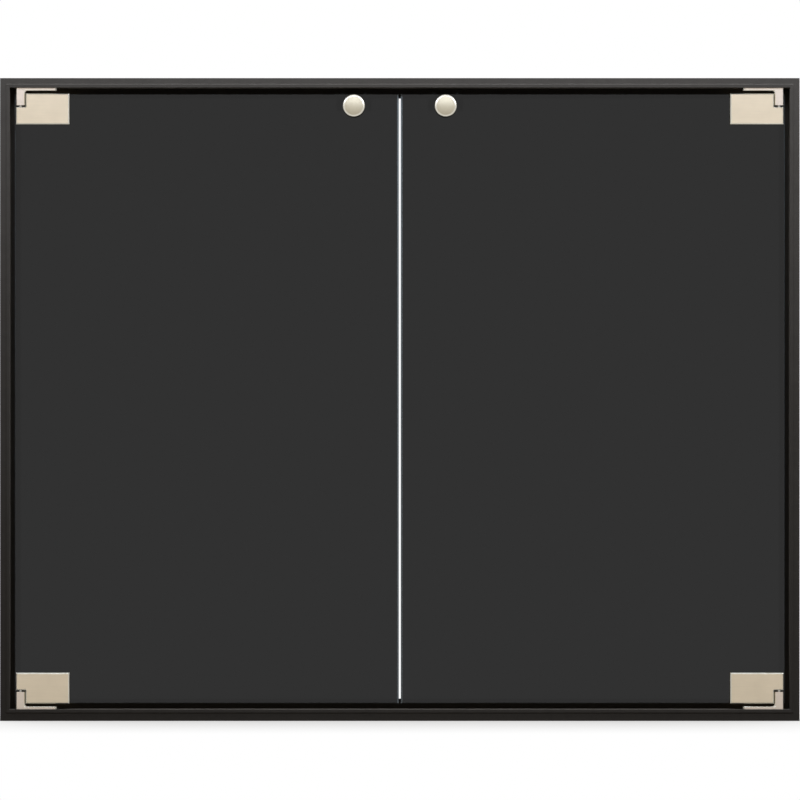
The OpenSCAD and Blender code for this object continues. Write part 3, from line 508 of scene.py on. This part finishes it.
class GLASSDOOR_OT_clamps(bpy.types.Operator):
    """Finish the clamps on the corners of the glass, with their gaskets, bushes, sleeves and screws"""

    bl_idname = "glassdoor.clamps"
    bl_label = "Clamps"

    def execute(self, context):
        hardware = context.scene.glassdoor_hardware
        nickel = satin_nickel_casting("satin_nickel_clamp", hardware.clamp_nickel, hardware)
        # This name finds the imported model's plain steel, which was there before the brackets' own.
        steel = bpy.data.materials["stainless_steel"]
        # Sintered bronze: brown and dull, full of fine pores that hold oil.
        bronze = plain_metal("sintered_bronze", "#a87a40", roughness=0.5, mark=0.4 * MM)
        # Pressed fibre gasket, filled with graphite: black, matt and a little hairy.
        gasket = moulded_or_pressed("graphite_gasket", "#1c1c1d", roughness=0.85, grain=0.6 * MM,
                                    depth=0.08 * MM)
        # Vulcanised fibre: grey-brown and matt, with a papery grain.
        fibre = moulded_or_pressed("vulcanised_fibre", "#6b6258", roughness=0.75, grain=0.8 * MM,
                                   depth=0.04 * MM)
        for corner in CORNERS:
            for part in ("clamp_block", "clamp_back_plate"):
                dress(f"{corner}_{part}", nickel)
                soften(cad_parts[f"{corner}_{part}"], hardware.edge)
            dress(f"{corner}_clamp_gaskets", gasket)
            dress(f"{corner}_pivot_bush", bronze)
        for side in SIDES:
            dress(f"{side}_clamp_screws", steel)
            dress(f"{side}_clamp_sleeves", fibre)
        return {"FINISHED"}


class GLASSDOOR_OT_panes(bpy.types.Operator):
    """Finish the two panes, with frosted edges all round and in the holes"""

    bl_idname = "glassdoor.panes"
    bl_label = "Panes"

    def execute(self, context):
        pane = context.scene.glassdoor_glass
        clear = smoked_tempered_glass(pane)
        frosted = ground_glass_edge(pane)
        for side in SIDES:
            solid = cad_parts[f"{side}_glass"]
            made = bpy.data.objects.new(f"{side}_pane", solid.data.copy())
            context.scene.collection.objects.link(made)
            made.data.materials.clear()
            made.data.materials.append(clear)
            made.data.materials.append(frosted)
            for face in made.data.polygons:
                faces_front_or_back = abs(face.normal.y) > PANE_FLAT
                face.material_index = 0 if faces_front_or_back else 1
            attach(made, f"{side}_door")
            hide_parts(f"{side}_glass")
        return {"FINISHED"}


class GLASSDOOR_OT_knobs(bpy.types.Operator):
    """Finish the knobs, their washers, screws and strike plates"""

    bl_idname = "glassdoor.knobs"
    bl_label = "Knobs"

    def execute(self, context):
        turned = satin_nickel_turning(context.scene.glassdoor_hardware)
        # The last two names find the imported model's plain steel and zinc, which were there first.
        fibre, steel, zinc = [bpy.data.materials[name] for name in
                              ("vulcanised_fibre", "stainless_steel", "zinc_plated_steel")]
        for side in SIDES:
            dress(f"{side}_knob", turned)
            dress(f"{side}_knob_washers", fibre)
            dress(f"{side}_knob_screw", steel)
            dress(f"{side}_strike_plate", zinc)
        return {"FINISHED"}


class GLASSDOOR_OT_catches(bpy.types.Operator):
    """Finish the magnetic catches behind the top rail"""

    bl_idname = "glassdoor.catches"
    bl_label = "Catches"

    def execute(self, context):
        # Heat resistant moulding, black, with the mould's even spark grain.
        plastic = moulded_or_pressed("moulded_phenolic", "#1f1f20", roughness=0.5, grain=0.5 * MM,
                                     depth=0.04 * MM)
        # Ferrite, ground: a dark grey ceramic.
        ferrite = moulded_or_pressed("ground_ferrite", "#33343a", roughness=0.6, grain=0.7 * MM,
                                     depth=0.02 * MM)
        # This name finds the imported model's plain zinc, which was there before the corner keys' own.
        zinc = bpy.data.materials["zinc_plated_steel"]
        for side in SIDES:
            dress(f"{side}_catch_housing", plastic)
            dress(f"{side}_catch_magnet", ferrite)
            dress(f"{side}_catch_pole_plates", zinc)
        # Black passivated zinc plate on steel: near black, with the sheen of the metal under it.
        black = plain_metal("black_zinc_plated_steel", "#2a2a2b", roughness=0.42, mark=1.5 * MM)
        dress("catch_screws", black)
        return {"FINISHED"}


# Stage


def add_lamp(name, power, place, target, size, colour, mirrored=True):
    """A rectangular lamp aimed at a target. It lights the object and shows in no picture itself, and
    metal and glass mirror it or don't."""
    lamp = bpy.data.lights.new(name, "AREA")
    lamp.shape = "RECTANGLE"
    lamp.size, lamp.size_y = size
    lamp.energy = power
    lamp.color = colour
    made = bpy.data.objects.new(name, lamp)
    made.location = place
    made.rotation_euler = (Vector(target) - Vector(place)).to_track_quat("-Z", "Y").to_euler()
    made.visible_camera = False
    made.visible_glossy = mirrored
    bpy.context.scene.collection.objects.link(made)


def seen_rays(tree):
    """1 for the rays that show a surface directly, in a mirror or through glass, and 0 for those that
    light."""
    path = add_node(tree, "ShaderNodeLightPath")
    first = add_node(tree, "ShaderNodeMath", {"operation": "MAXIMUM"},
                     {0: path.outputs["Is Camera Ray"], 1: path.outputs["Is Glossy Ray"]})
    both = add_node(tree, "ShaderNodeMath", {"operation": "MAXIMUM"},
                    {0: first.outputs["Value"], 1: path.outputs["Is Transmission Ray"]})
    return both.outputs["Value"]


def white_paper():
    """Seamless white paper, with a painted soft shadow of what stands on it. It throws back less light
    than its white would, so that it lights the object only a little from below."""
    made, tree = new_material("white_paper")
    # Painted shadow: seen rays get emitted white that ambient occlusion within SHADOW_REACH darkens
    # towards a grey.
    shadow = add_node(tree, "ShaderNodeAmbientOcclusion", {"samples": 16}, {"Distance": SHADOW_REACH})
    white = add_node(tree, "ShaderNodeMix", {"data_type": "RGBA"},
                     {"Factor": shadow.outputs["AO"], "A": opaque(linear("#a3a19e")), "B": WHITE})
    seen = add_node(tree, "ShaderNodeEmission", None, {"Color": white.outputs["Result"]})
    lit = add_node(tree, "ShaderNodeBsdfDiffuse", None, {"Color": opaque(linear("#565049"))})
    both = add_node(tree, "ShaderNodeMixShader", None,
                    {"Fac": seen_rays(tree), 1: lit.outputs["BSDF"], 2: seen.outputs["Emission"]})
    add_node(tree, "ShaderNodeOutputMaterial", None, {"Surface": both.outputs["Shader"]})
    return made


def add_floor():
    """The sheet of paper that the frame stands on."""
    sheet = bmesh.new()
    bmesh.ops.create_grid(sheet, x_segments=8, y_segments=8, size=FLOOR_HALF)
    mesh = bpy.data.meshes.new("floor")
    sheet.to_mesh(mesh)
    sheet.free()
    floor = bpy.data.objects.new("floor", mesh)
    floor.data.materials.append(white_paper())
    bpy.context.scene.collection.objects.link(floor)


def add_surroundings(dome):
    """White to look at all round, and a soft warm light that is stronger from above than from the
    sides."""
    world = bpy.data.worlds.new("studio")
    world.use_nodes = True
    tree = world.node_tree
    tree.nodes.clear()
    way = add_node(tree, "ShaderNodeTexCoord").outputs["Generated"]
    height = add_node(tree, "ShaderNodeSeparateXYZ", None, {"Vector": way})
    falloff = add_node(tree, "ShaderNodeMapRange", None,
                       {"Value": height.outputs["Z"], "From Min": 0.0, "From Max": 1.0,
                        "To Min": dome, "To Max": DOME_RISE * dome})
    soft = add_node(tree, "ShaderNodeBackground", None,
                    {"Color": opaque(linear("#fff2e2")), "Strength": falloff.outputs["Result"]})
    white = add_node(tree, "ShaderNodeBackground", None, {"Color": WHITE, "Strength": 1.0})
    both = add_node(tree, "ShaderNodeMixShader", None,
                    {"Fac": seen_rays(tree), 1: soft.outputs["Background"],
                     2: white.outputs["Background"]})
    add_node(tree, "ShaderNodeOutputWorld", None, {"Surface": both.outputs["Shader"]})
    bpy.context.scene.world = world


def add_camera(distance, view_width):
    """A long lens straight in front of the frame's middle."""
    eye = bpy.data.cameras.new("camera")
    eye.lens = eye.sensor_width * distance / view_width
    eye.shift_x, eye.shift_y = VIEW_SHIFT
    camera = bpy.data.objects.new("camera", eye)
    camera.location = (0, FRONT_Y - distance, FRAME_TOP / 2)
    # A camera looks down until it is turned up to the level.
    camera.rotation_euler = Euler((radians(90), 0, 0))
    bpy.context.scene.collection.objects.link(camera)
    bpy.context.scene.camera = camera


class GLASSDOOR_OT_studio(bpy.types.Operator):
    """Make the floor, the white surroundings, the lamps and the camera"""

    bl_idname = "glassdoor.studio"
    bl_label = "Studio"

    def execute(self, context):
        studio = context.scene.glassdoor_studio
        add_floor()
        add_surroundings(studio.dome)
        for name, setup in LAMPS.items():
            add_lamp(name, getattr(studio, f"{name}_power"), **setup)
        add_camera(studio.camera_distance, studio.view_width)
        context.scene.view_settings.view_transform = "Standard"
        return {"FINISHED"}


class GLASSDOOR_PT_panel(bpy.types.Panel):
    """Lists the steps and their sizes and colours"""

    bl_idname = "GLASSDOOR_PT_panel"
    bl_label = "Glass Door"
    bl_space_type = "VIEW_3D"
    bl_region_type = "UI"
    bl_category = "Glass Door"

    def draw(self, context):
        layout = self.layout
        for step in STEPS:
            layout.operator(step.bl_idname)
        for name, group in SETTINGS.items():
            settings = getattr(context.scene, name)
            box = layout.box()
            for key in group.__annotations__:
                box.prop(settings, key)


SETTINGS = {
    "glassdoor_frame": FrameFinish,
    "glassdoor_hardware": HardwareFinish,
    "glassdoor_glass": GlassFinish,
    "glassdoor_studio": Studio,
}
STEPS = [
    GLASSDOOR_OT_studio,
    GLASSDOOR_OT_frame,
    GLASSDOOR_OT_corner_keys,
    GLASSDOOR_OT_brackets,
    GLASSDOOR_OT_clamps,
    GLASSDOOR_OT_panes,
    GLASSDOOR_OT_knobs,
    GLASSDOOR_OT_catches,
]


def register():
    for name, group in SETTINGS.items():
        bpy.utils.register_class(group)
        setattr(bpy.types.Scene, name, bpy.props.PointerProperty(type=group))
    for step in STEPS:
        bpy.utils.register_class(step)
    bpy.utils.register_class(GLASSDOOR_PT_panel)


def unregister():
    bpy.utils.unregister_class(GLASSDOOR_PT_panel)
    for step in reversed(STEPS):
        bpy.utils.unregister_class(step)
    for name, group in reversed(SETTINGS.items()):
        delattr(bpy.types.Scene, name)
        bpy.utils.unregister_class(group)


def main():
    register()
    for step in STEPS:
        area, name = step.bl_idname.split(".")
        getattr(getattr(bpy.ops, area), name)()


if __name__ == "__main__":
    main()
